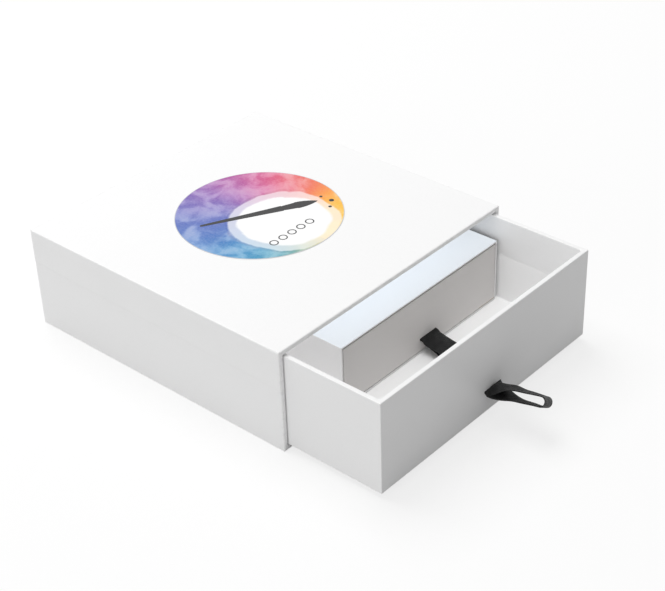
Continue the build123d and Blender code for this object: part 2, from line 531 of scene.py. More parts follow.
@dataclass(frozen=True)
class PaperFinish:
    """Wrap or lining paper: a fine fibre mottle, faint clouds, and folds that scuff a little."""

    name: str
    tone: Tone
    mottle: float = 0.985
    scuff: float = 0.93
    fibre_scale: float = 1400.0
    fibres: Pair = (0.35, 0.65)
    cloud_scale: float = 26.0
    thinned: Pair = (0.4, 1.0)
    rub_scale: float = 420.0
    rubs: Pair = (0.5, 0.72)
    roughness: Pair = (0.42, 0.55)
    specular: float = 0.35
    tooth_scale: float = 2600.0
    relief: float = 0.012 * MM

    def dimmed(self, by: float) -> tuple[float, ...]:
        """The paper's colour, dimmed to this share."""
        return tuple(part * by for part in srgb(self.tone)[:3]) + (1.0,)

    def material(self) -> Material:
        """Makes the material.

        Returns:
            The material.
        """
        finish = Finish(self.name)
        fibres = finish.ramp(finish.noise(self.fibre_scale, detail=4), self.fibres)
        clouds = finish.noise(self.cloud_scale, detail=2)
        share = finish.calc("MULTIPLY", fibres, finish.ramp(clouds, MIDDLE, self.thinned))
        sheet = finish.blend(share, srgb(self.tone), self.dimmed(self.mottle))
        rubs = finish.ramp(finish.noise(self.rub_scale, detail=3), self.rubs)
        worn = finish.calc("MULTIPLY", finish.fold(), rubs)
        finish.give("Base Color", finish.blend(worn, sheet, self.dimmed(self.scuff)))
        finish.give("Roughness", finish.ramp(clouds, MIDDLE, self.roughness))
        finish.give("Specular IOR Level", self.specular)
        finish.bump(finish.noise(self.tooth_scale, detail=5), self.relief)
        return finish.material


@dataclass(frozen=True)
class BoardFinish:
    """Raw board or tape: pressed pulp with dark and light flecks."""

    name: str
    tone: Tone
    fleck: Tone
    pulp_scale: float = 900.0
    pulp_warp: float = 0.4
    pulp: Pair = (0.4, 0.7)
    pulp_share: float = 0.5
    speck_scale: float = 2400.0
    specks: Pair = (0.6, 0.72)
    roughness: Pair = (0.8, 0.92)
    relief: float = 0.04 * MM

    def material(self) -> Material:
        """Makes the material.

        Returns:
            The material.
        """
        finish = Finish(self.name)
        pulp = finish.noise(self.pulp_scale, detail=5, warp=self.pulp_warp)
        specks = finish.ramp(finish.noise(self.speck_scale, detail=2), self.specks)
        share = finish.calc("MAXIMUM", finish.ramp(pulp, self.pulp, (0.0, self.pulp_share)), specks)
        finish.give("Base Color", finish.blend(share, srgb(self.tone), srgb(self.fleck)))
        finish.give("Roughness", finish.ramp(pulp, MIDDLE, self.roughness))
        finish.bump(pulp, self.relief)
        return finish.material


@dataclass(frozen=True)
class RibbonFinish:
    """Woven ribbon: fine ribs across it, threads along it, and a tighter edge. The raised ribs and threads
    are painted lighter, a painted sheen, which is held back along the edges.
    """

    name: str
    tone: Tone
    # The tone that the painted sheen on the raised ribs and threads lightens the ribbon towards.
    light: Tone
    width: float
    rib: float = 0.42 * MM
    rib_share: float = 0.6
    thread: float = 0.3 * MM
    thread_share: float = 0.4
    fuzz_scale: float = 1800.0
    fuzz: float = 0.6
    heights: Pair = (-0.6, 1.6)
    painted_sheen: Pair = (0.15, 0.85)
    # How much of the painted sheen the edges lose.
    selvedge: float = 0.7 * MM
    selvedge_sheen_cut: float = 0.5
    gloss_scale: float = 300.0
    roughness: Pair = (0.55, 0.72)
    specular: float = 0.35
    sheen: float = 0.04
    sheen_roughness: float = 0.4
    relief: float = 0.05 * MM

    def waves(self, finish: Finish, place: Socket, pitch: float, share: float) -> Socket:
        """Waves of this pitch along a place on the cloth, this strong."""
        turn = finish.calc("MULTIPLY", place, math.tau / pitch)
        return finish.calc("MULTIPLY", finish.calc("SINE", turn), share)

    def material(self) -> Material:
        """Makes the material.

        Returns:
            The material.
        """
        finish = Finish(self.name)
        cloth = finish.add("SeparateXYZ", {0: finish.add("TexCoord").outputs["UV"]}).outputs
        ribs = self.waves(finish, cloth[1], self.rib, self.rib_share)
        threads = self.waves(finish, cloth[0], self.thread, self.thread_share)
        fuzz = finish.calc("MULTIPLY", finish.noise(self.fuzz_scale, detail=3), self.fuzz)
        height = finish.calc("ADD", finish.calc("ADD", ribs, threads), fuzz)
        half = self.width / 2
        # Painted sheen: the relief's high points are painted towards the light tone, less so along the
        # edges.
        edge = finish.ramp(finish.calc("ABSOLUTE", cloth[0]), (half - self.selvedge, half))
        plain = finish.calc("SUBTRACT", 1.0, finish.calc("MULTIPLY", edge, self.selvedge_sheen_cut))
        share = finish.calc("MULTIPLY", finish.ramp(height, self.heights, self.painted_sheen), plain)
        finish.give("Base Color", finish.blend(share, srgb(self.tone), srgb(self.light)))
        gloss = finish.noise(self.gloss_scale, detail=2)
        finish.give("Roughness", finish.ramp(gloss, MIDDLE, self.roughness))
        finish.give("Specular IOR Level", self.specular)
        finish.give("Sheen Weight", self.sheen)
        finish.give("Sheen Roughness", self.sheen_roughness)
        finish.bump(height, self.relief)
        return finish.material


@dataclass(frozen=True)
class Hue:
    """A colour of the label's wash, and where round it this colour is: a share of a turn."""

    turn: float
    colour: Tone


LABEL_HUES = (
    Hue(0.0, (255, 214, 40)),
    Hue(0.12, (20, 176, 196)),
    Hue(0.27, (30, 140, 204)),
    Hue(0.40, (92, 108, 192)),
    Hue(0.50, (150, 96, 186)),
    Hue(0.60, (222, 60, 142)),
    Hue(0.70, (244, 120, 60)),
    Hue(0.80, (255, 206, 10)),
    Hue(1.0, (255, 222, 90)),
)


@dataclass(frozen=True)
class LabelFinish:
    """White sticker paper with a crescent of wet colours that run into each other, and a fine edge line."""

    name: str
    centre: Vector
    radius: float
    hues: tuple[Hue, ...] = LABEL_HUES
    first_turn: float = 0.75
    paper: Tone = (252, 252, 252)
    line_tone: Tone = (205, 206, 208)
    line: float = 0.35 * MM
    line_soft: float = 0.1 * MM
    # The crescent's hollow, from the sticker's middle.
    hollow: Vector = Vector((3.0 * MM, -14.0 * MM, 0.0))
    hollow_radius: float = 27.0 * MM
    # The wash's edge: soft, with a pale band inside it and settled paint along it.
    soft: float = 1.1 * MM
    halo: float = 4.5 * MM
    halo_strength: float = 0.4
    settled: float = 0.45
    settled_width: float = 1.3 * MM
    # How the wet edge and the hues wander.
    edge_scale: float = 55.0
    hue_scale: float = 30.0
    wander: float = 4.0 * MM
    cloud_scale: float = 80.0
    cloud_warp: float = 0.6
    clouds: Pair = (0.34, 0.62)
    pale: float = 0.78
    thick: Pair = (0.85, 1.0)
    thick_share: float = 0.3
    grain_scale: float = 900.0
    grain: float = 0.93
    gloss_scale: float = 60.0
    roughness: Pair = (0.3, 0.42)
    specular: float = 0.4
    tooth_scale: float = 1600.0
    relief: float = 0.006 * MM

    def pushed(self, finish: Finish, at: Socket, scale: float, by: float) -> Socket:
        """A place moved about by noise, and laid flat.

        Args:
            finish: The material's nodes.
            at: The place.
            scale: How many features a metre the noise has.
            by: The furthest that it moves a place.

        Returns:
            The place moved.
        """
        wobble = finish.add("TexNoise", {"Vector": at, "Scale": scale, "Detail": 5.0}).outputs["Color"]
        centred = finish.vector("SUBTRACT", wobble, (0.5, 0.5, 0.5))
        wet = finish.vector("ADD", at, finish.vector("MULTIPLY", centred, (2 * by, 2 * by, 2 * by)))
        return finish.vector("MULTIPLY", wet, (1, 1, 0))

    def hue(self, finish: Finish, wet: Socket) -> Socket:
        """The wash's colour, by the direction from the hollow's middle.

        Args:
            finish: The material's nodes.
            wet: The place from that middle.

        Returns:
            The colour.
        """
        parts = finish.add("SeparateXYZ", {0: wet}).outputs
        angle = finish.calc("ARCTAN2", parts[1], parts[0])
        turn = finish.calc("MULTIPLY_ADD", angle, -1 / math.tau, self.first_turn)
        stops = finish.add("ValToRGB", {0: finish.calc("FRACT", turn)})
        ramp = stops.color_ramp
        ramp.interpolation = "B_SPLINE"
        for k, hue in enumerate(self.hues):
            stop = ramp.elements[k] if k < len(ramp.elements) else ramp.elements.new(hue.turn)
            stop.position, stop.color = hue.turn, srgb(hue.colour)
        return stops.outputs[0]

    def paint(self, finish: Finish, about: Socket, clouds: Socket, pooled: Socket) -> Socket:
        """The wash's colour, deeper where the paint is thick.

        Args:
            finish: The material's nodes.
            about: The place from the hollow's middle.
            clouds: How strong the wash is.
            pooled: How much paint has settled at its edge.

        Returns:
            The colour.
        """
        hue = self.hue(finish, self.pushed(finish, about, self.hue_scale, 2 * self.wander))
        thick = finish.ramp(clouds, self.thick, (0.0, self.thick_share))
        deep = finish.blend(1.0, hue, hue, kind="MULTIPLY")
        return finish.blend(finish.calc("MAXIMUM", pooled, thick), hue, deep)

    def material(self) -> Material:
        """Makes the material.

        Returns:
            The material.
        """
        finish = Finish(self.name)
        here = finish.vector("SUBTRACT", finish.place(), self.centre)
        about = finish.vector("SUBTRACT", here, self.hollow)
        away = finish.vector("LENGTH", self.pushed(finish, about, self.edge_scale, self.wander))
        edge, soft, inner = self.hollow_radius, self.soft, self.hollow_radius - self.halo
        cover = finish.ramp(away, (edge - soft, edge + soft))
        halo = finish.ramp(away, (inner - soft, inner + soft), (0.0, self.halo_strength))
        off = finish.calc("ABSOLUTE", finish.calc("SUBTRACT", away, edge + self.settled_width))
        pooled = finish.ramp(off, (self.settled_width, 0.0), (0.0, self.settled))
        clouds = finish.noise(self.cloud_scale, detail=6, at=here, warp=self.cloud_warp)
        clouds = finish.ramp(clouds, self.clouds, (self.pale, 1.0))
        grain = finish.ramp(finish.noise(self.grain_scale, detail=4, at=here), MIDDLE, (self.grain, 1.0))
        wash = finish.calc("MULTIPLY", finish.calc("MULTIPLY", cover, clouds), grain)
        wash = finish.calc("MAXIMUM", wash, finish.calc("MULTIPLY", cover, pooled))
        paint = self.paint(finish, about, clouds, pooled)
        colour = finish.blend(finish.calc("MAXIMUM", wash, halo), srgb(self.paper), paint)
        out = finish.vector("LENGTH", finish.vector("MULTIPLY", here, (1, 1, 0)))
        rim = self.radius - self.line
        line = finish.ramp(out, (rim - self.line_soft, rim))
        finish.give("Base Color", finish.blend(line, colour, srgb(self.line_tone)))
        gloss = finish.noise(self.gloss_scale, detail=2, at=here)
        finish.give("Roughness", finish.ramp(gloss, MIDDLE, self.roughness))
        finish.give("Specular IOR Level", self.specular)
        finish.bump(finish.noise(self.tooth_scale, detail=3, at=here), self.relief)
        return finish.material


@dataclass(frozen=True)
class InkFinish:
    """Printed ink: an even tone that the paper's grain breaks up a little."""

    name: str
    tone: Tone
    worn: Tone
    grain_scale: float = 2200.0
    thin: Pair = (0.45, 0.8)
    thin_share: float = 0.6
    roughness: Pair = (0.32, 0.45)
    relief: float = 0.005 * MM

    def material(self) -> Material:
        """Makes the material.

        Returns:
            The material.
        """
        finish = Finish(self.name)
        grain = finish.noise(self.grain_scale, detail=4)
        thin = finish.ramp(grain, self.thin, (0.0, self.thin_share))
        finish.give("Base Color", finish.blend(thin, srgb(self.tone), srgb(self.worn)))
        finish.give("Roughness", finish.ramp(grain, MIDDLE, self.roughness))
        finish.bump(grain, self.relief)
        return finish.material


# The pieces


def settle(piece: Piece, body: Body, slot: Slot, *nodes: str) -> None:
    """Lets a piece ride on a body, and hides the CAD nodes that it stands for.

    Args:
        piece: The piece.
        body: The body that it rides on, unless it already bends between two.
        slot: Not used.
        nodes: The CAD nodes that it replaces.
    """
    if "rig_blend" not in piece:
        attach(piece, body.value)
    if nodes:
        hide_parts(*nodes)
    LOG.info("%s: %d faces, on %s", piece.name, len(piece.data.polygons), body.value)


@dataclass(frozen=True)
class GlueFlap:
    """The wrap's overlapping edge down a sleeve's left side."""

    front_drop: float = 20.0 * MM
    back_drop: float = 17.6 * MM
    bevel: float = 0.38 * MM
    # Where the side has points, from the flap's edge down and up.
    below: float = 2.0 * MM
    above: tuple[float, ...] = (0.0, 0.35 * MM, 1.2 * MM, 4.0 * MM)
    # The strip along the edge that isn't stuck down, and lifts in slow waves.
    free: float = 1.3 * MM
    lift: float = 0.04 * MM
    wave: float = 41.0 * MM

    def edge(self, top: float, share: float) -> float:
        """The height of the flap's lower edge, this share of the way from the mouth to the back."""
        return top - mix(self.front_drop, self.back_drop, share)

    def heights(self, edge: float) -> list[float]:
        """Heights where the side has points, from under the flap's edge to well over it."""
        return [edge + up for up in (-self.below, -self.bevel, *self.above)]

    def relief(self, point: Vector, edge: float, laid: float) -> float:
        """How far the flap stands off the paper under it.

        Args:
            point: A point of the sleeve's side.
            edge: The height of the flap's edge there.
            laid: How much of the paper's thickness shows, which a fold takes away.

        Returns:
            The distance outwards.
        """
        risen = smoothstep(point.z, edge - self.bevel, edge)
        free = 1 - smoothstep(point.z, edge, edge + self.free)
        ripple = 0.5 + 0.5 * math.sin(math.tau * point.y / self.wave)
        return risen * (PAPER * laid + self.lift * ripple * free)


@dataclass(frozen=True)
class CrushedSpot:
    """A soft crushed spot on a sleeve's top left edge, just behind the mouth."""

    drop: float = 1.35 * MM
    # Where it starts and ends behind the mouth, and how long each end's slope is.
    near: float = 1.2 * MM
    far: float = 5.6 * MM
    slope: float = 0.8 * MM

    def share(self, behind: float) -> float:
        """How crushed the edge is this far behind the mouth, from 0 to 1."""
        past = smoothstep(behind, self.near - self.slope, self.near)
        return past * smoothstep(behind, self.far + self.slope, self.far)


@dataclass
class SleeveCover:
    """The paper round a sleeve: over its boards, round their ends at the mouth and turned in there."""

    name: str
    boards: Block
    board: float
    flap: GlueFlap | None = None
    crush: CrushedSpot = CrushedSpot()
    turn_in: float = 12.0 * MM
    long_corner: float = 0.5 * MM
    inner_corner: float = 0.3 * MM
    hidden_corner: float = 0.02 * MM
    end_fold: float = 0.68 * MM
    mouth_wear: float = 1.0
    back_wear: float = 0.6
    # How far under the top the left side's last points lie, at least.
    top_clear: float = 1.8 * MM
    corner_clear: float = 0.1 * MM
    # The stretch behind the mouth where the rings are close together.
    near_reach: float = 8.0 * MM
    near_rings: int = 13
    far_rings: int = 36
    outside: Block = field(init=False)

    def __post_init__(self) -> None:
        """Works out the outside over the paper."""
        self.outside = self.boards.grown(PAPER)

    def flap_edge(self, y: float) -> float:
        """The height of the flap's edge at a place along the sleeve."""
        share = (y - self.outside.low.y) / (self.outside.high.y - self.outside.low.y)
        return self.flap.edge(self.outside.high.z, share)

    def stations(self, level: Level) -> Stations:
        """The points on the left side, which the flap's edge needs.

        Args:
            level: The level that they are for.

        Returns:
            The places between the ring's corners.
        """
        if self.flap is None:
            return Stations()
        corner = max(self.top_clear, level.inset + level.radius + self.corner_clear)
        heights = self.flap.heights(self.flap_edge(level.along))
        return Stations(left=(*heights, self.outside.high.z - corner))

    def pressed(self, point: Vector, inset: float) -> Vector:
        """Moves a point of the outer skin for the flap's thickness and the crushed spot at the mouth.

        Args:
            point: The point.
            inset: How far in its level lies.

        Returns:
            The point moved.
        """
        if self.flap is None or inset > self.end_fold:
            return point
        left, top, corner = self.outside.low.x, self.outside.high.z, self.long_corner
        side = min(max((left + corner - point.x) / corner, 0.0), 1.0)
        moved = point.copy()
        moved.x -= side * self.flap.relief(point, self.flap_edge(point.y), 1 - inset / self.end_fold)
        down = top - point.z
        just_past_corner = 1.01 * corner
        if point.x < left + corner and down <= just_past_corner:
            crushed = self.crush.share(point.y - self.outside.low.y)
            moved.z = top - down * mix(1.0, self.crush.drop / corner, crushed)
        return moved

    def lengthwise(self) -> list[float]:
        """Places along the sleeve for rings of the outer skin, close together near the mouth.

        Returns:
            The places, from the mouth's fold to the back's.
        """
        front, back = self.outside.low.y + self.end_fold, self.outside.high.y - self.end_fold
        near = spread(front, front + self.near_reach, self.near_rings)
        return near + spread(front + self.near_reach, back, self.far_rings)[1:]

    def hidden_levels(self, wall: float, end: float) -> list[Level]:
        """The rings on the paper's inner side, against the boards.

        Args:
            wall: The wall's thickness with its paper.
            end: Where the turned-in paper ends.

        Returns:
            The levels, from the back to that end.
        """
        front, back = self.outside.low.y + PAPER, self.outside.high.y - PAPER
        places = ((PAPER, back), (PAPER, front), (wall - PAPER, front), (wall - PAPER, end))
        return [Level(inset, y, self.hidden_corner) for inset, y in places]

    def levels(self) -> list[Level]:
        """The skin's rings, from the hidden back over the mouth's edge to the outer back.

        Returns:
            The levels in that order.
        """
        front, back, fold = self.outside.low.y, self.outside.high.y, self.end_fold
        wall = self.board + 2 * PAPER
        inner = min(fold, wall / 3)
        end = front + PAPER + self.turn_in
        levels = self.hidden_levels(wall, end)
        levels += [Level(wall, y, self.inner_corner) for y in (end, mix(end, front, 0.5))]
        turned = arc((wall - inner, front + inner), inner, (0, -90), FOLD_STEPS)
        turned += arc((fold, front + fold), fold, (270, 180), FOLD_STEPS)
        for inset, y in turned:
            corner = mix(self.long_corner, self.inner_corner, inset / wall)
            levels.append(Level(inset, y, corner, self.mouth_wear))
        levels += [Level(0.0, y, self.long_corner) for y in self.lengthwise()[1:]]
        for inset, y in arc((fold, back - fold), fold, (180, 90), FOLD_STEPS)[1:]:
            levels.append(Level(inset, y, self.long_corner, self.back_wear))
        levels.append(Level(fold + FOLD_REACH, back, self.long_corner))
        return levels

    def build(self, materials: Sequence[Material]) -> Piece:
        """Makes the cover.

        Args:
            materials: Its material, and a second one for its outer top, which carries a painted cool colour
                cast there.

        Returns:
            The piece.
        """
        shell = Shell()
        rings = []
        for level in self.levels():
            points = skin_ring(self.outside, level, self.stations(level), Stack.LENGTHWISE)
            rings.append(shell.ring([self.pressed(p, level.inset) for p in points], level.fold))
        shell.loft(rings)
        shell.cap(rings)
        if len(materials) > 1:
            self.dress_top(shell)
        return shell.piece(self.name, materials, SLEEVE_SHARP)

    def dress_top(self, shell: Shell) -> None:
        """Gives the second finish, which has a painted cool colour cast, to the faces on the outer top.

        Args:
            shell: The cover's skin.
        """
        height = self.outside.high.z - 0.5 * self.long_corner
        for k, corners in enumerate(shell.faces):
            if min(shell.points[c].z for c in corners) > height:
                shell.finishes[k] = 1


@dataclass(frozen=True)
class Slit:
    """The slit in a drawer's front that its ribbon comes through."""

    left: float
    right: float
    bottom: float
    top: float

    @classmethod
    def round_ribbon(cls, tails: Block, height: float, gap: float) -> "Slit":
        """The slit round a ribbon's two layers, with a gap all round.

        Args:
            tails: The box round the ribbon's ends, which lie in the slit.
            height: Where its two layers meet.
            gap: The gap.

        Returns:
            The slit.
        """
        out = RIBBON_THICKNESS + gap
        return cls(tails.low.x - gap, tails.high.x + gap, height - out, height + out)


@dataclass
class DrawerCover:
    """The paper round a drawer: under its base, up its walls, over the rim and turned in."""

    name: str
    boards: Block
    board: float
    turn_in: float
    slit: Slit
    base_fold: float
    rim: float = 0.4 * MM
    rim_wear: float = 0.4
    base_wear: float = 0.8
    upright_corner: float = 0.33 * MM
    inner_corner: float = 1.3 * MM
    hidden_corner: float = 0.02 * MM
    outside: Block = field(init=False)

    def __post_init__(self) -> None:
        """Works out the outside over the paper."""
        self.outside = self.boards.grown(PAPER)

    def inner_levels(self, wall: float) -> list[Level]:
        """The rings inside the walls: up the paper's hidden side, and down to where it ends and back.

        Args:
            wall: The wall's thickness with its paper.

        Returns:
            The levels in that order.
        """
        bottom, top = self.outside.low.z + PAPER, self.outside.high.z - PAPER
        turned = top - self.turn_in
        rising = (bottom, self.slit.bottom, self.slit.top, top)
        levels = [Level(PAPER, z, self.hidden_corner) for z in rising]
        levels += [Level(wall - PAPER, z, self.hidden_corner) for z in (top, turned)]
        half_way = mix(turned, self.outside.high.z, 0.5)
        return levels + [Level(wall, z, self.inner_corner) for z in (turned, half_way)]

    def rim_levels(self, wall: float) -> list[Level]:
        """The rings over the rim.

        Args:
            wall: The wall's thickness with its paper.

        Returns:
            The levels, from the inside to the outside.
        """
        middle = self.outside.high.z - self.rim
        over = arc((wall - self.rim, middle), self.rim, (0, 90), RIM_STEPS)
        over += arc((self.rim, middle), self.rim, (90, 180), RIM_STEPS)
        return [
            Level(inset, z, mix(self.upright_corner, self.inner_corner, inset / wall), self.rim_wear)
            for inset, z in over
        ]

    def outer_levels(self) -> list[Level]:
        """The rings down the outside of the walls and round under the base.

        Returns:
            The levels in that order.
        """
        bottom, fold = self.outside.low.z, self.base_fold
        falling = (self.outside.high.z - 2 * self.rim, self.slit.top, self.slit.bottom, bottom + 2 * fold)
        levels = [Level(0.0, z, self.upright_corner) for z in falling]
        for inset, z in arc((fold, bottom + fold), fold, (180, 270), FOLD_STEPS):
            levels.append(Level(inset, z, self.upright_corner, self.base_wear))
        levels.append(Level(fold + FOLD_REACH, bottom, self.upright_corner))
        return levels

    def build(self, material: Material) -> Piece:
        """Makes the cover, with a slit through its front.

        Args:
            material: Its material.

        Returns:
            The piece.
        """
        wall = self.board + 2 * PAPER
        inner, rim = self.inner_levels(wall), self.rim_levels(wall)
        at = Stations(first=(self.slit.left, self.slit.right))
        shell = Shell()
        rings = [
            shell.ring(skin_ring(self.outside, level, at, Stack.UPRIGHT), level.fold)
            for level in (*inner, *rim, *self.outer_levels())
        ]
        # The slit's face is the first of a ring, between its two stations on the front.
        back_of_slit, front_of_slit = 1, len(inner) + len(rim) + 1
        shell.loft(rings, holes=[(back_of_slit, 0), (front_of_slit, 0)])
        shell.reveal(
            (*rings[front_of_slit][:2], *reversed(rings[front_of_slit + 1][:2])),
            (*rings[back_of_slit + 1][:2], *reversed(rings[back_of_slit][:2])),
        )
        shell.cap(rings)
        return shell.piece(self.name, [material])


@dataclass
class DrawerLining:
    """The paper on a drawer's floor and lower walls, standing up over the ribbon's ends."""

    name: str
    boards: Block
    board: float
    turn_in: float
    tails: Block
    recess: float = 0.1 * MM
    corner: float = 1.0 * MM
    floor_fold: float = 0.7 * MM
    slope: float = 1.6 * MM
    slope_steps: int = 5

    def over_tails(self, point: Vector) -> float:
        """How far the paper stands off the front wall over the ribbon's ends.

        Args:
            point: A point of the paper on that wall.

        Returns:
            The distance to the back.
        """
        low, high, slope = self.tails.low, self.tails.high, self.slope
        raised = high.y - (self.boards.low.y + self.board)
        for value, start, end in ((point.x, low.x, high.x), (point.z, low.z, high.z)):
            raised *= smoothstep(value, start - slope, start) * smoothstep(value, end + slope, end)
        return raised

    def bends(self, low: float, high: float) -> list[float]:
        """Places where the raised patch bends, outside both of its ends."""
        rise = spread(low - self.slope, low, self.slope_steps)
        return rise + spread(high, high + self.slope, self.slope_steps)

    def levels(self) -> list[Level]:
        """The rings, up the hidden side and down the shown one to the floor.

        Returns:
            The levels in that order.
        """
        floor = self.boards.low.z + self.board
        edge = self.boards.high.z - self.turn_in
        heights = self.bends(self.tails.low.z, self.tails.high.z)
        shown, fold = self.board + PAPER - self.recess, self.floor_fold
        levels = [Level(self.board, z, self.corner / 2) for z in (floor, *heights, edge)]
        levels += [Level(shown, z, self.corner) for z in (edge, *reversed(heights))]
        bend = arc((shown + fold, floor + PAPER + fold), fold, (180, 270), FOLD_STEPS)
        return levels + [Level(inset, z, self.corner) for inset, z in bend]

    def build(self, material: Material) -> Piece:
        """Makes the lining.

        Args:
            material: Its material.

        Returns:
            The piece.
        """
        at = Stations(first=tuple(self.bends(self.tails.low.x, self.tails.high.x)))
        shell = Shell()
        rings = []
        for level in self.levels():
            points = skin_ring(self.boards, level, at, Stack.UPRIGHT)
            front = self.boards.low.y + level.inset
            for point in points:
                if point.y < front + self.corner:
                    point.y += self.over_tails(point)
            rings.append(shell.ring(points))
        shell.loft(rings)
        shell.cap(rings)
        return shell.piece(self.name, [material])


@dataclass
class RibbonPull:
    """A loop of ribbon out of a drawer's front: two layers at the slit that open to a round tip."""

    name: str
    root: Vector
    tip: Vector
    tip_radius: float
    opens: Pair
    leg_across: Vector = Vector((1, 0, 0))
    tip_across: Vector = Vector((1, 0, 0))
    width: float = RIBBON_WIDTH
    thickness: float = RIBBON_THICKNESS
    # Between these shares the ribbon rolls over to leg_across, and from the second on to tip_across.
    rolls: Pair = (0.0, 0.6)
    # Near the slit it is cupped: where that rises and ends, and how far up its middle stands.
    cup: float = 1.3 * MM
    crown: float = 1.0
    cup_rise: float = 1.0 * MM
    cup_end: float = 12.0 * MM
    # How far it holds its direction out of the slit and into the tip.
    leave: float = 8.0 * MM
    arrive: float = 8.0 * MM
    leg_steps: int = 26
    tip_steps: int = 14
    across_steps: int = 12

    def middle(self, share: float) -> Vector:
        """A point of the loop's middle line.

        Args:
            share: How far along it, from 0 at the slit to 1 at the tip.

        Returns:
            The point.
        """
        start = self.root + Vector((0, -self.leave, 0))
        end = self.tip - (self.tip - self.root).normalized() * self.arrive
        s, t = 1 - share, share
        return self.root * s**3 + start * (3 * s * s * t) + end * (3 * s * t * t) + self.tip * t**3

    def directions(self, share: float) -> tuple[Vector, Vector, Vector]:
        """The directions at a point of the middle line.

        Args:
            share: How far along it.

        Returns:
            Along the loop, across the ribbon, and the way it opens.
        """
        step = 0.01
        along = (self.middle(min(share + step, 1.0)) - self.middle(max(share - step, 0.0))).normalized()
        across = Vector((1, 0, 0)).lerp(self.leg_across, smoothstep(share, *self.rolls))
        across = across.lerp(self.tip_across, smoothstep(share, self.rolls[1], 1.0)).normalized()
        return along, across, along.cross(across).normalized()

    def opening(self, share: float) -> float:
        """Half the distance between the two layers' middles."""
        closed = self.thickness / 2
        return mix(closed, self.tip_radius - closed, smoothstep(share, *self.opens))

    def cupped(self, share: float, across: float) -> float:
        """How far the ribbon stands up in its middle and hangs down at its edges, near the slit.

        Args:
            share: How far along the middle line.
            across: The distance from the ribbon's own middle.

        Returns:
            The height.
        """
        out = share * (self.tip - self.root).length
        rise = smoothstep(out, 0.0, self.cup_rise)
        fall = 1 - smoothstep(out, self.cup_rise, self.cup_end)
        return self.cup * rise * fall * (self.crown - 2 * (2 * across / self.width) ** 2)

    def stations(self) -> list[tuple[float, float, float]]:
        """The ribbon's own stations, from one end round the tip to the other.

        Returns:
            For each a share of the middle line, an angle round the tip, and the length up to there.
        """
        legs = spread(0.0, 1.0, self.leg_steps)
        places = [(share, 90.0) for share in legs]
        places += [(1.0, angle) for angle in spread(90.0, -90.0, self.tip_steps + 1)[1:-1]]
        places += [(share, -90.0) for share in reversed(legs)]
        length, last, stations = 0.0, self.point(*places[0], 0.0, 0.0), []
        for share, angle in places:
            point = self.point(share, angle, 0.0, 0.0)
            length += (point - last).length
            stations.append((share, angle, length))
            last = point
        return stations

    def point(self, share: float, angle: float, across: float, out: float) -> Vector:
        """A point of the ribbon.

        Args:
            share: How far along the middle line.
            angle: Where round the tip, in degrees: 90 is the upper layer and -90 the lower.
            across: The distance from the ribbon's own middle.
            out: The distance outwards from the middle of its thickness.

        Returns:
            The point.
        """
        along, sideways, up = self.directions(share)
        half = self.opening(share) + out
        turn = math.radians(angle)
        offset = up * (half * math.sin(turn)) + along * (half * math.cos(turn))
        return self.middle(share) + offset + sideways * across + up * self.cupped(share, across)

    def build(self, material: Material) -> Piece:
        """Makes the ribbon, with its width and length as texture coordinates.

        Args:
            material: Its material.

        Returns:
            The piece.
        """
        across = spread(-self.width / 2, self.width / 2, self.across_steps + 1)
        back = list(reversed(across))
        shell = Shell()
        rings, cloth = [], []
        for share, angle, length in self.stations():
            outer = [self.point(share, angle, a, self.thickness / 2) for a in across]
            inner = [self.point(share, angle, a, -self.thickness / 2) for a in back]
            rings.append(shell.ring(outer + inner))
            cloth += [(a, length) for a in across + back]
        shell.loft(rings)
        shell.cap(rings)
        piece = shell.piece(self.name, [material], RIBBON_SHARP)
        lay_cloth(piece, cloth)
        return piece

    def flat_length(self) -> float:
        """The ribbon's length laid flat."""
        return self.stations()[-1][2]


@dataclass
class RibbonStub:
    """The two layers in a slit, up to where the loop bends, with a round end that the loop turns about."""

    name: str
    end: Vector
    length: float = 1.5 * MM
    width: float = RIBBON_WIDTH
    radius: float = 0.96 * RIBBON_THICKNESS
    nose_steps: int = 8

    def build(self, material: Material) -> Piece:
        """Makes the stub, with its width and length as texture coordinates.

        Args:
            material: Its material.

        Returns:
            The piece.
        """
        back, height = self.end.y + self.length, self.end.z
        nose = arc((self.end.y, height), self.radius, (90, 270), self.nose_steps)
        profile = [(back, height + self.radius), *nose, (back, height - self.radius)]
        shell = Shell()
        half = self.width / 2
        rings = [shell.ring(Vector((self.end.x + x, y, z)) for y, z in profile) for x in (-half, half)]
        shell.loft(rings)
        shell.cap(rings)
        piece = shell.piece(self.name, [material], RIBBON_SHARP)
        lay_cloth(piece, [(point.x - self.end.x, back - point.y) for point in shell.points])
        return piece


@dataclass
class RoundLabel:
    """The round sticker on the sleeve's top."""

    name: str
    disc: Block
    edge: float = 0.05 * MM
    steps: int = 128

    def centre(self) -> Vector:
        """The middle of its upper face."""
        middle = self.disc.middle()
        return Vector((middle.x, middle.y, self.disc.high.z))

    def radius(self) -> float:
        """Its radius."""
        return self.disc.size().x / 2

    def build(self, material: Material) -> Piece:
        """Makes the sticker.

        Args:
            material: Its material.

        Returns:
            The piece.
        """
        shell = Shell()
        middle, top = self.centre(), self.disc.high.z
        rounded = 0.3 * self.edge
        profile = (
            (0.0, self.disc.low.z),
            (0.0, top - self.edge),
            (rounded, top - rounded),
            (self.edge, top),
        )
        rings = []
        for inset, z in profile:
            points = circle((middle.x, middle.y), self.radius() - inset, self.steps)
            rings.append(shell.ring(Vector((x, y, z)) for x, y in points))
        shell.loft(rings)
        shell.cap(rings)
        return shell.piece(self.name, [material])


